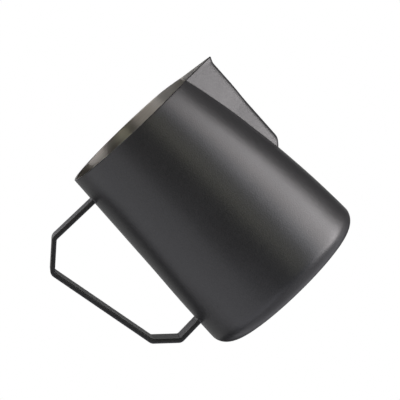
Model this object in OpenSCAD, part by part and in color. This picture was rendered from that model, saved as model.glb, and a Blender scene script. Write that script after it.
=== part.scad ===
// Milk frothing pitcher: a drawn, tapered steel body with a welded V spout and a bent strap handle.
// Frame: the origin is on the body's axis at the level it stands on, +Z is up,
// +X points out through the spout, and the handle is on -X. Millimetres.

/* [Body] */
// Height of the rim above the base, measured on the axis
body_height = 110; // [106:1:116]
// Diameter of the side wall's cone where it would reach the base
base_d = 91.2; // [89:0.2:93]
// Diameter of the side wall at the rim
rim_d = 80.2; // [79:0.2:82]
// Radius of the rounded corner between the side and the base
corner_r = 9.5; // [8:0.5:11]
// Thickness of the sheet
wall = 0.9; // [0.8:0.1:1]
// Downward slope of the rim towards the spout, in degrees
rim_slope = 0.8; // [0.4:0.1:1.2]
// Radius of the shallow recess under the base
recess_r = 28; // [22:1:30]
// Depth of the recess under the base
recess_depth = 0.8; // [0.5:0.1:1.2]

/* [Spout] */
// Distance of the spout's ridge from the axis, where its lip begins to flare
ridge_top_x = 47.7; // [47.3:0.1:48]
// Distance of the spout's ridge from the axis at its lower end
ridge_foot_x = 45.4; // [45.1:0.1:45.7]
// Height at which the ridge ends and turns in to the body
ridge_foot_z = 58.4; // [57:0.2:60]
// Height at which the lip begins to flare forward
flare_z = 104.6; // [104:0.2:105]
// Forward lean of the flared lip, in degrees
flare_lean = 24; // [20:0.5:28]
// Angle between the centre plane and each flat panel of the spout, in degrees
panel_angle = 47.5; // [46:0.5:49]
// The same angle in the narrower flared beak at the lip
beak_angle = 41; // [39:0.5:43]
// Downward slope of the spout's lip, in degrees
lip_slope = 3.8; // [2.8:0.1:4.2]

/* [Handle] */
// Width of the strap
strap_w = 19.4; // [16:0.2:22]
// Thickness of the strap
strap_t = 2.3; // [1.8:0.1:2.6]
// Radius of the strap's bends, to the middle of its thickness
bend_r = 2.6; // [2.2:0.1:3.2]
// Leg of the weld fillet where the strap meets the body
bead = 0.6; // [0.5:0.1:0.8]

/* [Hidden] */
$fn = 96;

coat = [0.13, 0.13, 0.135];
over = 12;                                       // how far a cutting shape runs past what it cuts

// The side closes in by this much for each millimetre of height.
side_slope = (base_d - rim_d) / 2 / body_height;
side_lean = atan(side_slope);

// In front the body closes in towards the spout, on a second and wider cone set back from the axis.
front_setback = 10;
front_rim_r = 45.4;
front_slope = 0.124;

// The spout's panels start this far in front of the axis, clear of the other walls.
panel_start_x = 25;
ridge_lean = atan((ridge_top_x - ridge_foot_x) / (flare_z - ridge_foot_z));
underside_angle = 43.5;                          // slope of the spout's underside, from level
foot_round = 5;                                  // radius where the ridge turns into the underside
lip_start_x = 20;                                // where the lip's slope takes over from the rim's

// Middle line of the strap in the X-Z plane, from inside the wall above to inside the wall below.
strap_path = [[-36, 97.1], [-66.4, 97.5], [-78.8, 86.1], [-67.5, 28.7], [-57.2, 19.2], [-36, 19.9]];

function side_r(z) = base_d / 2 - side_slope * z;
function polar(r, a) = [r * cos(a), r * sin(a)];
function unit(v) = v / norm(v);
function left_of(v) = [-v[1], v[0]];
function heading(v) = atan2(v[1], v[0]);

// Half outline of the body of revolution, moved outwards by grow: base, round corner, straight side.
function body_outline(grow) =
    let (
        corner = [side_r(corner_r) - corner_r / cos(side_lean), corner_r],
        top = body_height + over,
        steps = 10
    )
    concat(
        [[0, -grow]],
        [for (i = [0:steps]) corner + polar(corner_r + grow, -90 + (90 + side_lean) * i / steps)],
        [[side_r(top) + grow / cos(side_lean), top], [0, top]]
    );

// The space inside the body's outer surface, or inside a surface moved outwards by grow.
module body_solid(grow) {
    intersection() {
        rotate_extrude() polygon(body_outline(grow));
        translate([-front_setback, 0, -over])
            cylinder(
                h = body_height + 3 * over,
                r1 = front_rim_r + front_slope * (body_height + over) + grow,
                r2 = front_rim_r - front_slope * 2 * over + grow
            );
    }
}

// An outline in the X-Z plane, made as deep as the whole pitcher.
module side_slab(points) {
    rotate([90, 0, 0]) linear_extrude(height = 120, center = true) polygon(points);
}

// Everything above the sloping rim and the steeper lip of the spout.
module above_rim() {
    far = 70;
    top = body_height + 4 * over;
    lip_z = body_height - lip_start_x * tan(rim_slope);
    side_slab([
        [-far, body_height + far * tan(rim_slope)],
        [lip_start_x, lip_z],
        [far, lip_z - (far - lip_start_x) * tan(lip_slope)],
        [far, top],
        [-far, top]
    ]);
}

// A prism of V section, whose edge leans forward through the point where the lip begins to flare.
module v_prism(lean, half_angle, inset) {
    depth = 40;
    reach = 70;
    half = depth * tan(half_angle) / cos(lean);
    translate([ridge_top_x - inset / sin(half_angle), 0, flare_z])
        rotate([0, lean, 0])
        linear_extrude(height = 2 * reach, center = true)
        polygon([[0, 0], [-depth, half], [-depth, -half]]);
}

// Side outline of the spout: clear of the ridge in front, then its rounded foot and its underside.
function spout_side(inset) =
    let (
        centre = [ridge_foot_x - foot_round, ridge_foot_z],
        r = foot_round - inset,
        first = -6,
        last = underside_angle - 90,
        steps = 4,
        rise = body_height - ridge_foot_z + over,
        run = (centre[0] - panel_start_x) / cos(underside_angle)
    )
    concat(
        [[panel_start_x, body_height + over], centre + polar(r, first) + polar(rise, first + 90)],
        [for (i = [0:steps]) centre + polar(r, first + (last - first) * i / steps)],
        [centre + polar(r, last) - polar(run, underside_angle)]
    );

// The space inside the spout's panels and underside, with its faces moved inwards by inset.
module spout_solid(inset) {
    intersection() {
        union() {
            v_prism(ridge_lean, panel_angle, inset);
            v_prism(flare_lean, beak_angle, inset);
        }
        side_slab(spout_side(inset));
    }
}

// The spout's bent sheet, still running through the body's wall.
module spout_sheet() {
    difference() {
        spout_solid(0);
        spout_solid(wall);
        above_rim();
    }
}

// Body: drawn from one disc, with its base, and notched in front for the spout.
module body_shell() {
    color(coat)
        difference() {
            body_solid(0);
            difference() {
                body_solid(-wall);
                cylinder(r = recess_r + wall, h = wall + recess_depth);
            }
            translate([0, 0, -over]) cylinder(r = recess_r, h = over + recess_depth);
            spout_solid(0);
            above_rim();
        }
}

// Spout: the part of the bent sheet that stands outside the body.
module spout() {
    color(coat)
        difference() {
            spout_sheet();
            body_solid(0);
        }
}

// Seam: the weld that joins the notch's edges to the spout, flush with both faces of the wall.
module spout_seam() {
    color(coat)
        difference() {
            intersection() {
                spout_sheet();
                body_solid(0);
            }
            body_solid(-wall);
        }
}

// One side of the strap, moved to the right of its middle line by offset, with an arc at each bend.
function strap_edge(offset) =
    let (last = len(strap_path) - 1, steps = 6)
    concat(
        [strap_path[0] - left_of(unit(strap_path[1] - strap_path[0])) * offset],
        [for (i = [1:last - 1])
            let (
                before = unit(strap_path[i] - strap_path[i - 1]),
                after = unit(strap_path[i + 1] - strap_path[i]),
                turn = acos(before * after),
                centre = strap_path[i] - before * bend_r * tan(turn / 2) + left_of(before) * bend_r,
                first = heading(-left_of(before))
            )
            for (k = [0:steps]) centre + polar(bend_r + offset, first + turn * k / steps)],
        [strap_path[last] - left_of(unit(strap_path[last] - strap_path[last - 1])) * offset]
    );

// The whole strap, from inside the wall above to inside the wall below.
module strap() {
    inner = strap_edge(-strap_t / 2);
    rotate([90, 0, 0])
        linear_extrude(height = strap_w, center = true)
        polygon(concat(
            strap_edge(strap_t / 2),
            [for (i = [len(inner) - 1:-1:0]) inner[i]]
        ));
}

module handle() {
    color(coat)
        difference() {
            strap();
            body_solid(0);
        }
}

// The weld around one end of the strap: a collar that hugs the wall on all four sides of the strap.
module handle_weld(root_z, arm_angle) {
    color(coat)
        difference() {
            intersection() {
                translate([strap_path[0][0], 0, root_z])
                    rotate([0, arm_angle, 0])
                    cube([30, strap_w + 2 * bead, strap_t + 2 * bead], center = true);
                body_solid(bead);
            }
            body_solid(0);
            strap();
        }
}

module handle_weld_upper() {
    first = strap_path[1] - strap_path[0];
    handle_weld(strap_path[0][1], atan(-first[1] / first[0]));
}

module handle_weld_lower() {
    last = strap_path[5] - strap_path[4];
    handle_weld(strap_path[5][1], atan(-last[1] / last[0]));
}

body_shell();
spout();
spout_seam();
handle();
handle_weld_upper();
handle_weld_lower();
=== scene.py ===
"""Milk frothing pitcher: the looks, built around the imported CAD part.

A drawn, tapered steel body, black outside and bare inside, with a V spout welded into a notch
in front and a bent strap handle behind. Lengths are in millimetres until a mesh is made.
"""

import math

import bpy
import numpy as np
from mathutils import Matrix, Vector


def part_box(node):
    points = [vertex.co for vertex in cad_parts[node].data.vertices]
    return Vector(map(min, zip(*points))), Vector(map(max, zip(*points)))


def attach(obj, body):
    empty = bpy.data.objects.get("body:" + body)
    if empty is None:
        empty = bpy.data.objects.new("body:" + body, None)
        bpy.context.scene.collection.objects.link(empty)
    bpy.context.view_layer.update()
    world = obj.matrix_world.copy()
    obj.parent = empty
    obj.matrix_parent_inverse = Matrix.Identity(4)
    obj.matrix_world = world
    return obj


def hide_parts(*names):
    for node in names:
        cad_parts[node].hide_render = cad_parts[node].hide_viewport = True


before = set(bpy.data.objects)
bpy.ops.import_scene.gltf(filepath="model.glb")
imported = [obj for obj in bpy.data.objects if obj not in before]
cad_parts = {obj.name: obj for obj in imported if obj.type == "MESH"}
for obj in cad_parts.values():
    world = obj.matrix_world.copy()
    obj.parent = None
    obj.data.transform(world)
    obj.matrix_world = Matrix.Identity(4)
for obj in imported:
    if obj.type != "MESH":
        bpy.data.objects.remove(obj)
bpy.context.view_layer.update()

MM = 0.001


def box_mm(node):
    """Lowest and highest corner of a CAD node, in millimetres."""
    low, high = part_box(node)
    return np.array(low) / MM, np.array(high) / MM


# ---------------------------------------------------------------- sizes
BODY_HIGH = box_mm("body_shell")[1]
STRAP_LOW, STRAP_HIGH = box_mm("handle")

RIM_SLOPE = math.tan(math.radians(0.8))  # the rim falls this much per millimetre towards the spout
LIP_SLOPE = math.tan(math.radians(3.8))  # and the spout's lip falls this much
LIP_START_X, LIP_EASE = 20.0, 5.0  # where the lip's slope begins, and over what width
RIM_R = 40.1
RIM_Z = BODY_HIGH[2] - RIM_R * RIM_SLOPE  # height of the rim on the axis

SIDE_BASE_R = 45.6  # radius of the side's cone where it would reach the base
SIDE_SLOPE = (SIDE_BASE_R - RIM_R) / RIM_Z
SIDE_MAX_R, SIDE_EASE = BODY_HIGH[1] - 0.02, 0.24  # the side stays just inside the CAD's widest radius
SIDE_BELLY, BELLY_LOW, BELLY_HIGH = 0.24, 7.0, 57.0  # how far it bows out, and between which heights

FRONT_SETBACK = 10.0  # the front cone's axis lies this far behind the body's
FRONT_RIM_R = 45.4  # its radius at the rim's height
FRONT_SLOPE = 0.124  # and how much that grows per millimetre down
FRONT_EASE = 3.0  # how gradually side and front blend

WALL = 0.9  # whole thickness of the sheet
COAT = 0.1  # thickness of the outer skin, which shows the black coating
EDGE_R = WALL / 2  # the rim is half round, its outer half coated
CORNER_WIDTH, CORNER_HEIGHT = 10.3, 8.5  # the round corner between base and side
RECESS_R, RECESS_DEPTH, RECESS_STEP = 28.0, 0.8, 1.0  # the base's recess, and half its step's width

PANEL = math.radians(45.2)  # angle between the centre plane and each face of the spout's V
BEAK = math.radians(41)  # the same in the beak at the lip
RIDGE_X, RIDGE_SLOPE = 47.68, 0.04  # where the ridge is at the flare, and how it leans
RIDGE_STEP, STEP_LOW, STEP_HIGH = 0.4, 79.0, 92.0  # it steps forward this much between these heights
FLARE_Z, FLARE_SLOPE = 104.6, 0.445  # the beak leans forward more, from this height up
RIDGE_R_LOW, RIDGE_R_HIGH, BEAK_R = 6.6, 4.6, 2.8  # radii of the ridge and of the beak's edge
SHARPER_LOW, SHARPER_HIGH = 66.0, 88.0  # the ridge's radius falls between these heights
UNDER_POINT = (42.2, 53.23)  # where the spout's underside meets the body on the centre plane
UNDER_SLOPE = math.tan(math.radians(43))  # and how steeply it rises from there
BEAK_EASE, FOOT_EASE, CREASE_EASE = 0.6, 3.3, 0.35  # softness of the bends between the spout's faces

STRAP_W, STRAP_T = STRAP_HIGH[1] - STRAP_LOW[1], 2.3
BEND_R, STRAP_EDGE_R = 2.6, 0.55  # radii of its bends, at mid thickness, and of its long edges
# the strap's middle line in X and Z, from the upper weld round to the lower one
STRAP_PATH = [(-40.3, 97.16), (-66.4, 97.5), (-78.79, 86.1), (-67.5, 28.7), (-57.2, 19.2), (-43.9, 19.65)]
BEAD, BEAD_FILL = 0.6, 0.08  # the weld's leg, and how far its hollow face stands off the corner
BURIED, BEAD_BURIED = 0.3, 0.25  # how deep strap and weld run into the wall, and the weld's edges


# ---------------------------------------------------------------- the body's and spout's surfaces
def soft_min(a, b, k):
    """The lower of a and b, with their corner rounded where they are within k of each other."""
    h = np.maximum(k - np.abs(a - b), 0) / k
    return np.minimum(a, b) - h**3 * k / 6


def soft_max(a, b, k):
    """The higher of a and b, with their corner rounded in the same way."""
    return -soft_min(-a, -b, k)


def soft_step(x, width):
    """0 well below 0 and x well above it, with a smooth bend of about that width."""
    return 0.5 * (x + np.sqrt(x * x + width * width))


def smooth(x, low, high):
    """0 up to low and 1 from high on, with a smooth rise between."""
    t = np.clip((x - low) / (high - low), 0, 1)
    return t * t * (3 - 2 * t)


def side_radius(z):
    """Radius of the side wall on its own: a cone that bows out a little low down."""
    belly = SIDE_BELLY * np.sin(math.pi * np.clip((z - BELLY_LOW) / (BELLY_HIGH - BELLY_LOW), 0, 1)) ** 2
    return soft_min(SIDE_BASE_R - SIDE_SLOPE * z + belly, SIDE_MAX_R, SIDE_EASE)


def wall_radius(angle, z, inset):
    """Radius of the body's wall at an angle from the spout, narrowed in front towards the spout."""
    front_r = FRONT_RIM_R + FRONT_SLOPE * (RIM_Z - z)
    front = -FRONT_SETBACK * np.cos(angle) + np.sqrt(front_r**2 - (FRONT_SETBACK * np.sin(angle)) ** 2)
    return soft_min(side_radius(z), front, FRONT_EASE) - inset


def v_radius(angle, edge_x, half_angle, round_r, inset):
    """Distance from the axis to an upright V, whose edge at edge_x is rounded to round_r.

    Each face makes half_angle with the centre plane.
    """
    c, s = np.cos(angle), np.abs(np.sin(angle))
    centre_x = edge_x - round_r
    r = round_r - inset
    curved = centre_x * c + np.sqrt(np.maximum(r * r - (centre_x * s) ** 2, 0))
    apex_x = centre_x + r / math.sin(half_angle)
    flat = apex_x / (c + s / math.tan(half_angle))
    return np.where(curved * s < r * math.cos(half_angle), curved, flat)


def spout_radius(angle, z, inset):
    """Distance from the axis to the spout's panels, beak and underside."""
    above = z - FLARE_Z
    round_r = RIDGE_R_LOW + (RIDGE_R_HIGH - RIDGE_R_LOW) * smooth(z, SHARPER_LOW, SHARPER_HIGH)
    ridge_x = RIDGE_X + RIDGE_SLOPE * above - RIDGE_STEP * (1 - smooth(z, STEP_LOW, STEP_HIGH))
    panels = v_radius(angle, ridge_x, PANEL, round_r, inset)
    beak = v_radius(angle, RIDGE_X + FLARE_SLOPE * above, BEAK, BEAK_R, inset)
    under_x = UNDER_POINT[0] + (z - UNDER_POINT[1]) / UNDER_SLOPE - inset * math.hypot(1, 1 / UNDER_SLOPE)
    return soft_min(soft_max(panels, beak, BEAK_EASE), under_x / np.cos(angle), FOOT_EASE)


SPOUT_REACH = math.radians(36)  # the spout's V is only wanted this far round


def pitcher_radius(angle, z, inset):
    """Distance from the axis to whichever of wall and spout stands further out."""
    wall = wall_radius(angle, z, inset)
    near = np.abs(angle) < SPOUT_REACH
    spout = spout_radius(np.where(near, angle, 0), z, inset)
    return np.where(near, soft_max(wall, spout, CREASE_EASE), wall)


def rim_height(x):
    """Height of the rim's top at a distance x in front of the axis."""
    return RIM_Z - x * RIM_SLOPE - (LIP_SLOPE - RIM_SLOPE) * soft_step(x - LIP_START_X, LIP_EASE)


CREASE_START = UNDER_POINT[1] + 3.0  # below this height the crease keeps its angle
HALVINGS = 40


def crease_angle(z, inset):
    """Angle at which the spout's panel meets the wall, found by halving the range it lies in."""
    z = np.maximum(z, CREASE_START)
    low, high = np.full_like(z, math.radians(1)), np.full_like(z, SPOUT_REACH)
    for _ in range(HALVINGS):
        mid = (low + high) / 2
        outside = spout_radius(mid, z, inset) > wall_radius(mid, z, inset)
        low, high = np.where(outside, mid, low), np.where(outside, high, mid)
    return low


# ---------------------------------------------------------------- grids over those surfaces
SPOUT_COLS, WALL_COLS = 20, 84  # columns of cells from the ridge to the crease, and on to the back
SEAM_COLS = 3  # the seam takes this many on each side of the crease
EVEN_SHARE = 0.22  # 1 spaces the wall's columns evenly, and 0 puts the most at the crease


def column_angles(crease):
    """Angles of one ring of columns, closer together at the ridge and at the crease."""
    t = np.linspace(0, 1, SPOUT_COLS + 1)
    in_spout = crease[:, None] * (0.5 - 0.5 * np.cos(math.pi * t))
    t = np.linspace(0, 1, WALL_COLS + 1)[1:]
    in_wall = crease[:, None] + (math.pi - crease[:, None]) * (EVEN_SHARE * t + (1 - EVEN_SHARE) * t * t)
    half = np.concatenate([in_spout, in_wall], axis=1)
    return np.concatenate([half, -half[:, -2:0:-1]], axis=1)


MIDDLE_RING_R = 3.0  # radius of the innermost ring
RING_GAP_IN, RING_GAP_OUT, RING_GAP_CORNER = 0.5, 0.6, 0.4  # flat rings keep this far from what bends
RECESS_RINGS, STEP_RINGS, FOOT_RINGS, CORNER_RINGS = 8, 9, 4, 15


def base_rows(inset):
    """Radius and height of each ring across the base and up the rounded corner."""
    step_r = RECESS_R + inset
    step_in, step_out = step_r - RECESS_STEP, step_r + RECESS_STEP
    corner_start = BODY_HIGH[1] - CORNER_WIDTH
    in_recess = np.linspace(MIDDLE_RING_R, step_in - RING_GAP_IN, RECESS_RINGS)
    over_step = np.linspace(step_in, step_out, STEP_RINGS)
    on_foot = np.linspace(step_out + RING_GAP_OUT, corner_start - RING_GAP_CORNER, FOOT_RINGS)
    radii = np.concatenate([in_recess, over_step, on_foot])
    heights = inset + RECESS_DEPTH * (1 - smooth(radii, step_in, step_out))
    turn = np.radians(np.linspace(-90, 0, CORNER_RINGS + 1))[:-1]
    centre_r = side_radius(CORNER_HEIGHT) - CORNER_WIDTH
    corner_r = centre_r + (CORNER_WIDTH - inset) * np.cos(turn)
    corner_z = CORNER_HEIGHT + (CORNER_HEIGHT - inset) * np.sin(turn)
    return np.concatenate([radii, corner_r]), np.concatenate([heights, corner_z])


FOOT_BAND_LOW, FOOT_BAND_HIGH, FIXED_TOP = 50.0, 60.0, 100.0  # rows are closest around the spout's foot
FIXED_ROWS = np.concatenate(
    [
        np.linspace(CORNER_HEIGHT, FOOT_BAND_LOW, 18)[:-1],
        np.linspace(FOOT_BAND_LOW, FOOT_BAND_HIGH, 41)[:-1],
        np.linspace(FOOT_BAND_HIGH, FIXED_TOP, 41),
    ]
)
TOP_ROWS = 28  # rows that follow the rim, above the fixed ones
RIM_ROUNDS = 4  # the rim's height depends on its radius and the radius on the height: 4 rounds settle them
FOOT_ROW_Z = 52.0  # the spout's sheet starts just above this height
RIM_STEPS, RIM_START = 6, 15  # rows of each arc over the rim, and degrees at which the arcs start


def vessel_grid(inset, below_rim):
    """Points of one whole surface, in rows from the base's middle up to below_rim under the rim's top."""
    base_r, base_z = base_rows(inset)
    ring = column_angles(crease_angle(np.array([UNDER_POINT[1]]), inset))[0]
    all_round = np.ones_like(ring)
    base = [np.outer(base_r, np.cos(ring)), np.outer(base_r, np.sin(ring)), np.outer(base_z, all_round)]
    share = np.linspace(0, 1, TOP_ROWS + 1)[1:, None]
    tops = np.full((TOP_ROWS, len(ring)), RIM_Z)
    angles = column_angles(crease_angle(FIXED_TOP + (RIM_Z - FIXED_TOP) * share[:, 0], inset))
    for _ in range(RIM_ROUNDS):
        radius = pitcher_radius(angles, tops, inset)
        end = rim_height(radius * np.cos(angles)) - below_rim  # its last row is where each column ends
        tops = FIXED_TOP + (end[-1:] - FIXED_TOP) * share
    heights = np.concatenate([np.outer(FIXED_ROWS, all_round), tops])
    angles = np.concatenate([column_angles(crease_angle(FIXED_ROWS, inset)), angles])
    radius = pitcher_radius(angles, heights, inset)
    side = [radius * np.cos(angles), radius * np.sin(angles), heights]
    return np.concatenate([np.stack(base, -1), np.stack(side, -1)])


def rim_arcs(outer, inner, arcs):
    """Rows over the rim, from the top rows of two grids: each arc is a radius, a first and a last angle."""
    rows = []
    for r, first, last in arcs:
        for turn in np.radians(np.linspace(first, last, RIM_STEPS)):
            share = 0.5 - r / WALL * math.cos(turn)  # 0 on the outer surface and 1 on the inner
            rows.append(outer[-1] * (1 - share) + inner[-1] * share + [0, 0, r * math.sin(turn)])
    return np.array(rows)


# ---------------------------------------------------------------- meshes
SHARP_SHEET, SHARP_WELD = 35, 50  # edges that turn by more degrees than this are shaded sharp


def new_piece(name, verts, faces, material, sharp=SHARP_SHEET):
    """A closed mesh from points in millimetres, shaded smooth except at sharp edges."""
    used = sorted({v for f in faces for v in f})
    place = {v: i for i, v in enumerate(used)}
    mesh = bpy.data.meshes.new(name)
    mesh.from_pydata([tuple(verts[v] * MM) for v in used], [], [[place[v] for v in f] for f in faces])
    mesh.validate()
    mesh.shade_smooth()
    mesh.set_sharp_from_angle(angle=math.radians(sharp))
    mesh.materials.append(material)
    piece = bpy.data.objects.new(name, mesh)
    bpy.context.scene.collection.objects.link(piece)
    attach(piece, "root")
    return piece


def sheet_piece(name, outer, inner, rim, keep, material):
    """The closed sheet between two grids, over the cells that keep marks. The rim's rows join their tops."""
    rows, cols = outer.shape[:2]
    poles = [np.array([0, 0, grid[0, 0, 2]]) for grid in (outer, inner)]
    verts = np.concatenate([outer.reshape(-1, 3), inner.reshape(-1, 3), rim.reshape(-1, 3), poles])
    out_pole, in_pole = len(verts) - 2, len(verts) - 1

    def out_at(j, i):
        return j * cols + i % cols

    def in_at(j, i):
        return rows * cols + out_at(j, i)

    def rim_at(j, i):
        return 2 * rows * cols + out_at(j, i)

    def over_rim(i):
        return [out_at(rows - 1, i)] + [rim_at(j, i) for j in range(len(rim))] + [in_at(rows - 1, i)]

    faces = []
    for j in range(rows - 1):
        for i in range(cols):
            if not keep[j, i]:
                continue
            faces.append([out_at(j, i), out_at(j, i + 1), out_at(j + 1, i + 1), out_at(j + 1, i)])
            faces.append([in_at(j, i), in_at(j + 1, i), in_at(j + 1, i + 1), in_at(j, i + 1)])
            if j == 0:  # close the base's middle
                faces.append([out_pole, out_at(0, i + 1), out_at(0, i)])
                faces.append([in_pole, in_at(0, i), in_at(0, i + 1)])
            elif not keep[j - 1, i]:  # close the sheet's cut edges, below, above and beside
                faces.append([out_at(j, i + 1), out_at(j, i), in_at(j, i), in_at(j, i + 1)])
            if j < rows - 2 and not keep[j + 1, i]:
                faces.append([out_at(j + 1, i), out_at(j + 1, i + 1), in_at(j + 1, i + 1), in_at(j + 1, i)])
            for edge, beside in ((i, i - 1), (i + 1, i + 1)):
                if not keep[j, beside % cols]:
                    wall = [out_at(j, edge), out_at(j + 1, edge), in_at(j + 1, edge), in_at(j, edge)]
                    faces.append(wall if edge == i else wall[::-1])
    for i in range(cols):  # carry it over the rim, and close the cut ends there
        if not keep[rows - 2, i]:
            continue
        a, b = over_rim(i), over_rim(i + 1)
        faces += [[a[k], b[k], b[k + 1], a[k + 1]] for k in range(len(a) - 1)]
        if not keep[rows - 2, (i - 1) % cols]:
            faces.append(a)
        if not keep[rows - 2, (i + 1) % cols]:
            faces.append(b[::-1])
    return new_piece(name, verts, faces, material)


def sheet_masks(rows, cols):
    """Which cells of a vessel grid belong to the body, to the spout and to the seam between them."""
    first_row = len(base_rows(0)[0]) + int(np.searchsorted(FIXED_ROWS, FOOT_ROW_Z))
    column = np.arange(cols)
    from_ridge = np.minimum(column, cols - 1 - column)  # cells on both sides of the ridge count from 0
    high = (np.arange(rows - 1) >= first_row)[:, None]
    higher = (np.arange(rows - 1) >= first_row + 2 * SEAM_COLS)[:, None]  # above the seam at the foot
    inside = high & (from_ridge < SPOUT_COLS + SEAM_COLS)[None]
    spout = higher & (from_ridge < SPOUT_COLS - SEAM_COLS)[None]
    return ~inside, spout, inside & ~spout


# ---------------------------------------------------------------- handle
STRAP_STEP = 2.0  # spacing of the strap's rings where it is straight
BEND_STEPS, EDGE_STEPS, FLAT_STEPS = 10, 5, 6  # steps round a bend, round an edge and across a flat
WELD_STEPS = 6
WALL_ROUNDS = 12  # each round brings a point nearer the wall


def strap_line():
    """The strap's middle line with an arc at each bend, as points and directions in the X-Z plane."""
    path = [np.array(p) for p in STRAP_PATH]
    points, headings = [], []

    def straight(a, b):
        length = np.linalg.norm(b - a)
        direction = (b - a) / length
        for t in np.linspace(0, 1, max(2, int(length / STRAP_STEP)) + 1):
            points.append(a + (b - a) * t)
            headings.append(direction)

    start = path[0]
    for before_p, corner, after_p in zip(path, path[1:], path[2:]):
        before = (corner - before_p) / np.linalg.norm(corner - before_p)
        after = (after_p - corner) / np.linalg.norm(after_p - corner)
        turn = math.acos(float(before @ after))
        tangent = BEND_R * math.tan(turn / 2)
        left = np.array([-before[1], before[0]])
        centre = corner - before * tangent + left * BEND_R
        straight(start, corner - before * tangent)
        for t in np.linspace(0, 1, BEND_STEPS + 1)[1:-1]:
            c, s = math.cos(turn * t), math.sin(turn * t)
            direction = np.array([before[0] * c - before[1] * s, before[0] * s + before[1] * c])
            points.append(centre - np.array([-direction[1], direction[0]]) * BEND_R)
            headings.append(direction)
        start = corner + after * tangent
    straight(start, path[-1])
    return np.array(points), np.array(headings)


def strap_section():
    """The strap's cross-section, a rounded rectangle, as (across, outward) points and directions."""
    half_w, half_t = STRAP_W / 2 - STRAP_EDGE_R, STRAP_T / 2 - STRAP_EDGE_R
    corners = [(half_w, half_t), (-half_w, half_t), (-half_w, -half_t), (half_w, -half_t)]
    centres, turns = [], []
    for k, corner in enumerate(corners):
        centres += [corner] * (EDGE_STEPS + 1)
        turns += [90 * k + 90 * t / EDGE_STEPS for t in range(EDGE_STEPS + 1)]
        if k % 2 == 0:  # a wide face follows, which has points of its own
            start, end = np.array(corner), np.array(corners[k + 1])
            centres += [start + (end - start) * t / FLAT_STEPS for t in range(1, FLAT_STEPS)]
            turns += [90 * k + 90] * (FLAT_STEPS - 1)
    turns = np.radians(turns)
    normals = np.stack([np.cos(turns), np.sin(turns)], -1)
    return np.array(centres) + STRAP_EDGE_R * normals, normals


def build_handle(material):
    """The strap, swept along its line, with its ends cut to the wall's curve."""
    points, headings = strap_line()
    section, _ = strap_section()
    sides = len(section)
    outward = np.stack([headings[:, 1], -headings[:, 0]], -1)  # away from the middle of the loop
    verts = np.zeros((len(points), sides, 3))
    verts[..., ::2] = points[:, None] + section[None, :, 1:] * outward[:, None]  # X and Z
    verts[..., 1] = section[None, :, 0]
    for end, inward in ((0, -headings[0]), (-1, headings[-1])):
        into_wall = np.array([inward[0], 0, inward[1]])
        for k in range(sides):
            verts[end, k] = wall_along(verts[end, k], into_wall) + into_wall * BURIED
    end_strips = [[k, k + 1, sides - 2 - k, sides - 1 - k] for k in range(sides // 2 - 1)]
    last = (len(points) - 1) * sides
    faces = end_strips + [[last + k for k in reversed(strip)] for strip in end_strips]
    for j in range(len(points) - 1):
        for k in range(sides):
            n = (k + 1) % sides
            faces.append([j * sides + k, (j + 1) * sides + k, (j + 1) * sides + n, j * sides + n])
    return new_piece("handle_strap", verts.reshape(-1, 3), faces, material)


def wall_along(point, direction):
    """The point where a line in a direction that runs mostly along X meets the wall behind the axis."""
    p = np.array(point, float)
    for _ in range(WALL_ROUNDS):
        x = -math.sqrt(side_radius(p[2]) ** 2 - p[1] ** 2)
        p = p + direction * (x - p[0]) / direction[0]
    return p


def build_weld(name, end, material):
    """A concave fillet all round one end of the strap. End is 0 for the upper arm and -1 for the lower."""
    path = [np.array(p) for p in STRAP_PATH]
    tip, before = (path[0], path[1]) if end == 0 else (path[-1], path[-2])
    away = (before - tip) / np.linalg.norm(before - tip)
    along = np.array([away[0], 0, away[1]])
    up = np.array([-along[2], 0, along[0]])
    across = np.array([0, 1, 0])
    rings = []
    for (a, b), (na, nb) in zip(*strap_section()):
        outward = across * na + up * nb
        start = np.array([tip[0], 0, tip[1]]) + across * a + up * b
        corner = wall_along(start, along)
        on_strap = corner + along * BEAD
        on_wall = wall_along(start + outward * BEAD, along)
        hollow = corner + (along + outward) * BEAD_FILL
        steps = np.linspace(0, 1, WELD_STEPS + 1)
        curve = [on_strap * (1 - t) ** 2 + hollow * 2 * t * (1 - t) + on_wall * t * t for t in steps]
        in_corner = corner - along * BURIED - outward * BEAD_BURIED
        rings.append(curve + [on_wall - along * BEAD_BURIED, in_corner, on_strap - outward * BEAD_BURIED])
    rings = np.array(rings)
    count, sides = rings.shape[:2]
    faces = []
    for j in range(count):
        for k in range(sides):
            m, n = (j + 1) % count, (k + 1) % sides
            faces.append([j * sides + k, j * sides + n, m * sides + n, m * sides + k])
    return new_piece(name, rings.reshape(-1, 3), faces, material, SHARP_WELD)


# ---------------------------------------------------------------- materials
BLACK_DARK, BLACK_PALE = (0.013, 0.013, 0.0135), (0.022, 0.022, 0.0225)
GRAIN_SCALE, SPECKLE_SCALE, COAT_CLOUD_SCALE = 1500, 1100, 60  # noise cells per metre
STEEL_DARK, STEEL_PALE = (0.62, 0.60, 0.56), (0.70, 0.68, 0.64)
LINE_STRETCH = (3.0, 3000.0, 1.0)  # brushing: few cells round the axis and many up it
STEEL_CLOUD_SCALE = 45


def shader(name, **values):
    """A node material with a Principled shader, and its node tree and shader."""
    material = bpy.data.materials.new(name)
    material.use_nodes = True
    tree = material.node_tree
    principled = tree.nodes["Principled BSDF"]
    for socket, value in values.items():
        principled.inputs[socket.replace("_", " ")].default_value = value
    return material, tree, principled


def node(tree, kind, inputs=None, **settings):
    """A new node. Each input is a value, or another node's socket to link."""
    made = tree.nodes.new(kind)
    for key, value in settings.items():
        setattr(made, key, value)
    for key, value in (inputs or {}).items():
        if isinstance(value, bpy.types.NodeSocket):
            tree.links.new(value, made.inputs[key])
        else:
            made.inputs[key].default_value = value
    return made


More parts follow.
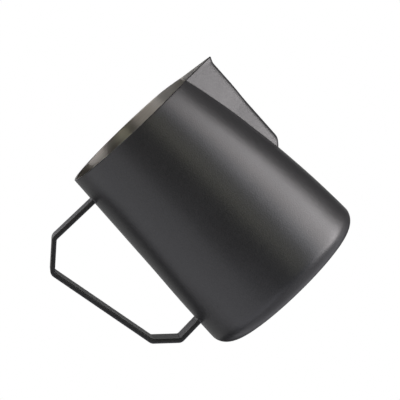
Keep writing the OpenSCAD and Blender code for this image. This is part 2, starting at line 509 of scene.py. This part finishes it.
def noise(tree, vector, scale, detail=2.0, roughness=0.5):
    inputs = {"Vector": vector, "Scale": scale, "Detail": detail, "Roughness": roughness}
    return node(tree, "ShaderNodeTexNoise", inputs).outputs["Fac"]


def remap(tree, value, low, high, to_low, to_high):
    inputs = {"Value": value, "From Min": low, "From Max": high, "To Min": to_low, "To Max": to_high}
    return node(tree, "ShaderNodeMapRange", inputs).outputs["Result"]


MIX_A, MIX_B, MIX_RESULT = 6, 7, 2  # the colour sockets of a Mix node, which share their names with others


def mix_colour(tree, factor, a, b):
    inputs = {"Factor": factor, MIX_A: (*a, 1), MIX_B: (*b, 1)}
    return node(tree, "ShaderNodeMix", inputs, data_type="RGBA").outputs[MIX_RESULT]


def black_coat():
    """A thin satin black coating with a fine sprayed grain."""
    material, tree, principled = shader("black_coat", Metallic=0.0, Specular_IOR_Level=0.5)
    place = node(tree, "ShaderNodeTexCoord").outputs["Object"]
    grain = noise(tree, place, GRAIN_SCALE, 3.0, 0.6)
    cloud = noise(tree, place, COAT_CLOUD_SCALE, 3.0)
    colour = mix_colour(tree, remap(tree, grain, 0.35, 0.65, 0, 1), BLACK_DARK, BLACK_PALE)
    tree.links.new(colour, principled.inputs["Base Color"])
    speckle = remap(tree, noise(tree, place, SPECKLE_SCALE, 2.0, 0.6), 0.35, 0.65, -0.03, 0.03)
    even = remap(tree, cloud, 0.3, 0.7, 0.34, 0.36)
    rough = node(tree, "ShaderNodeMath", {0: even, 1: speckle}, operation="ADD")
    tree.links.new(rough.outputs[0], principled.inputs["Roughness"])
    bump = node(tree, "ShaderNodeBump", {"Height": grain, "Strength": 0.6, "Distance": 0.0001})
    tree.links.new(bump.outputs["Normal"], principled.inputs["Normal"])
    return material


def bare_steel():
    """Satin stainless steel, brushed round the axis, so that its highlights run up and down."""
    brushed = {"Anisotropic": 0.88, "Anisotropic_Rotation": 0.25}
    material, tree, principled = shader("bare_steel", Metallic=1.0, **brushed)
    place = node(tree, "ShaderNodeTexCoord").outputs["Object"]
    split = node(tree, "ShaderNodeSeparateXYZ", {"Vector": place})
    turn = node(tree, "ShaderNodeMath", {0: split.outputs["Y"], 1: split.outputs["X"]}, operation="ARCTAN2")
    flat = node(tree, "ShaderNodeCombineXYZ", {"X": turn.outputs[0], "Y": split.outputs["Z"]})
    stretch = node(tree, "ShaderNodeMapping", {"Vector": flat.outputs[0], "Scale": LINE_STRETCH})
    lines = noise(tree, stretch.outputs[0], 1.0)
    cloud = noise(tree, place, STEEL_CLOUD_SCALE)
    colour = mix_colour(tree, remap(tree, lines, 0.3, 0.7, 0, 1), STEEL_DARK, STEEL_PALE)
    tree.links.new(colour, principled.inputs["Base Color"])
    tree.links.new(remap(tree, cloud, 0.3, 0.7, 0.40, 0.44), principled.inputs["Roughness"])
    tangent = node(tree, "ShaderNodeTangent", direction_type="RADIAL", axis="Z")
    tree.links.new(tangent.outputs[0], principled.inputs["Tangent"])
    return material


# ---------------------------------------------------------------- stage
MIDDLE = (0, 0, 55.0)  # the camera and the lamps are placed from here
WHITE = {"Color": (1, 1, 1, 1), "Strength": 1.0}  # inputs of a backdrop's shader


def build_camera():
    """The camera, turned about its own line of sight so that the pitcher leans over in the picture."""
    azimuth, elevation, roll = math.radians(0.44), math.radians(6.01), math.radians(44.18)
    distance, to_right, downward = 1307.82, 6.349, 2.034  # of the pitcher's middle, as the camera sees it
    level = Vector((math.sin(azimuth), -math.cos(azimuth), 0))
    back = level * math.cos(elevation) + Vector((0, 0, math.sin(elevation)))
    right = Vector((math.cos(azimuth), math.sin(azimuth), 0))
    up = back.cross(right)
    right, up = math.cos(roll) * right - math.sin(roll) * up, math.sin(roll) * right + math.cos(roll) * up
    place = Vector(MIDDLE) + distance * back - to_right * right + downward * up
    data = bpy.data.cameras.new("camera")
    data.sensor_width, data.lens = 36.0, 241.92
    data.clip_start, data.clip_end = 0.01, 100.0
    camera = bpy.data.objects.new("camera", data)
    axes = Matrix((right, up, back)).transposed().to_4x4()
    camera.matrix_world = Matrix.Translation(place * MM) @ axes
    bpy.context.scene.collection.objects.link(camera)
    bpy.context.scene.camera = camera


LAMP_DISTANCE = 1.0  # metres


def softbox(name, azimuth, elevation, across, upright, radiance, colour=(1, 1, 1)):
    """A flat lamp facing the pitcher, with its place and spread in degrees as seen from the pitcher.

    Azimuth 0 is the camera's side and 90 the spout's.
    """
    a, e = math.radians(azimuth), math.radians(elevation)
    toward = Vector((math.sin(a) * math.cos(e), -math.cos(a) * math.cos(e), math.sin(e)))
    data = bpy.data.lights.new(name, "AREA")
    data.shape = "RECTANGLE"
    data.size = 2 * LAMP_DISTANCE * math.tan(math.radians(across) / 2)
    data.size_y = 2 * LAMP_DISTANCE * math.tan(math.radians(upright) / 2)
    data.energy = radiance * math.pi * data.size * data.size_y
    data.color = colour
    lamp = bpy.data.objects.new(name, data)
    lamp.location = Vector(MIDDLE) * MM + toward * LAMP_DISTANCE
    lamp.rotation_mode = "QUATERNION"
    lamp.rotation_quaternion = toward.to_track_quat("Z", "Y")
    lamp.visible_camera = False
    bpy.context.scene.collection.objects.link(lamp)


def build_world(ambient):
    """A white backdrop, which lights the pitcher only by the ambient strength."""
    world = bpy.data.worlds.new("world")
    world.use_nodes = True
    tree = world.node_tree
    tree.nodes.clear()
    out = node(tree, "ShaderNodeOutputWorld")
    seen = node(tree, "ShaderNodeBackground", WHITE)
    light = node(tree, "ShaderNodeBackground", {**WHITE, "Strength": ambient})
    path = node(tree, "ShaderNodeLightPath")
    inputs = {0: path.outputs["Is Camera Ray"], 1: light.outputs[0], 2: seen.outputs[0]}
    tree.links.new(node(tree, "ShaderNodeMixShader", inputs).outputs[0], out.inputs["Surface"])
    bpy.context.scene.world = world


def build_floor():
    """A pale floor that runs out past the camera's view. It takes no part in the lighting."""
    material = bpy.data.materials.new("floor_paper")
    material.use_nodes = True
    tree = material.node_tree
    tree.nodes.clear()
    out = node(tree, "ShaderNodeOutputMaterial")
    tree.links.new(node(tree, "ShaderNodeEmission", WHITE).outputs[0], out.inputs["Surface"])
    mesh = bpy.data.meshes.new("floor")
    reach, drop = 3.0, -0.0002  # metres
    corners = [(-reach, -reach, drop), (reach, -reach, drop), (reach, reach, drop), (-reach, reach, drop)]
    mesh.from_pydata(corners, [], [(0, 1, 2, 3)])
    mesh.materials.append(material)
    floor = bpy.data.objects.new("floor", mesh)
    floor.visible_diffuse = floor.visible_glossy = floor.visible_shadow = False
    bpy.context.scene.collection.objects.link(floor)


# ---------------------------------------------------------------- the pitcher
build_camera()
build_world(ambient=0.02)
build_floor()
# where each lamp is, its angular width and height, its radiance and its colour
softbox("key_light", 84.5, -16, 29, 48, 5.6, (1.03, 0.99, 1.01))
softbox("key_low", 95, -25, 24, 36, 3.4, (1.03, 0.99, 1.0))
softbox("key_edge", 66, -16, 8, 48, 6.1, (1.06, 0.985, 0.96))
softbox("key_wing", 54, -17.5, 16, 45, 3.6, (0.98, 1.0, 1.08))
softbox("front_strip", 20.5, 5, 5, 30, 2.4, (1.05, 1.01, 0.75))
softbox("front_light", 29, 5, 16, 30, 0.85, (1.03, 1.01, 0.85))
softbox("front_low", 17, -25, 52, 30, 0.27, (0.9, 1.01, 1.2))
softbox("fill_low", -54, -25, 79, 30, 1.1, (0.99, 0.99, 1.1))
softbox("fill_light", -75, 5, 76, 30, 1.0, (1.0, 1.0, 1.05))
softbox("fill_high", -34, 35, 56, 30, 1.2, (1.07, 0.99, 0.92))
softbox("back_right", 165, 2, 16, 36, 0.5)
softbox("back_left", -165, 2, 16, 36, 0.5)
softbox("back_side", -137, 2, 40, 36, 0.32)
softbox("back_high", -176, 37, 25, 30, 1.3, (1.0, 0.99, 1.05))
softbox("top_light", -60, 66, 44, 26, 0.8)
softbox("floor_bounce", 0, -90, 100, 100, 0.64, (1.0, 0.99, 1.06))

coat, steel = black_coat(), bare_steel()
skin_out, skin_in, sheet_in = (vessel_grid(inset, EDGE_R) for inset in (0, COAT, WALL))
in_body, in_spout, in_seam = sheet_masks(*skin_out.shape[:2])
under = EDGE_R - COAT
skin_rim = rim_arcs(skin_out, sheet_in, [(EDGE_R, RIM_START, 90), (under, 90, RIM_START)])
sheet_rim = rim_arcs(skin_out, sheet_in, [(under, RIM_START, 90), (EDGE_R, 90, 180 - RIM_START)])

pieces = [
    ("body", in_body, "body_shell"),
    ("spout", in_spout, "spout"),
    ("seam", in_seam, "spout_seam"),
]
for name, keep, cad in pieces:
    skin = sheet_piece(name + "_coat", skin_out, skin_in, skin_rim, keep, coat)
    sheet = sheet_piece(name + "_steel", skin_in, sheet_in, sheet_rim, keep, steel)
    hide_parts(cad)
    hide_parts(cad)

for piece, cad in (
    (build_handle(coat), "handle"),
    (build_weld("weld_upper", 0, coat), "handle_weld_upper"),
    (build_weld("weld_lower", -1, coat), "handle_weld_lower"),
):
    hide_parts(cad)

view = bpy.context.scene.view_settings
view.view_transform = "Standard"
view.look = "None"
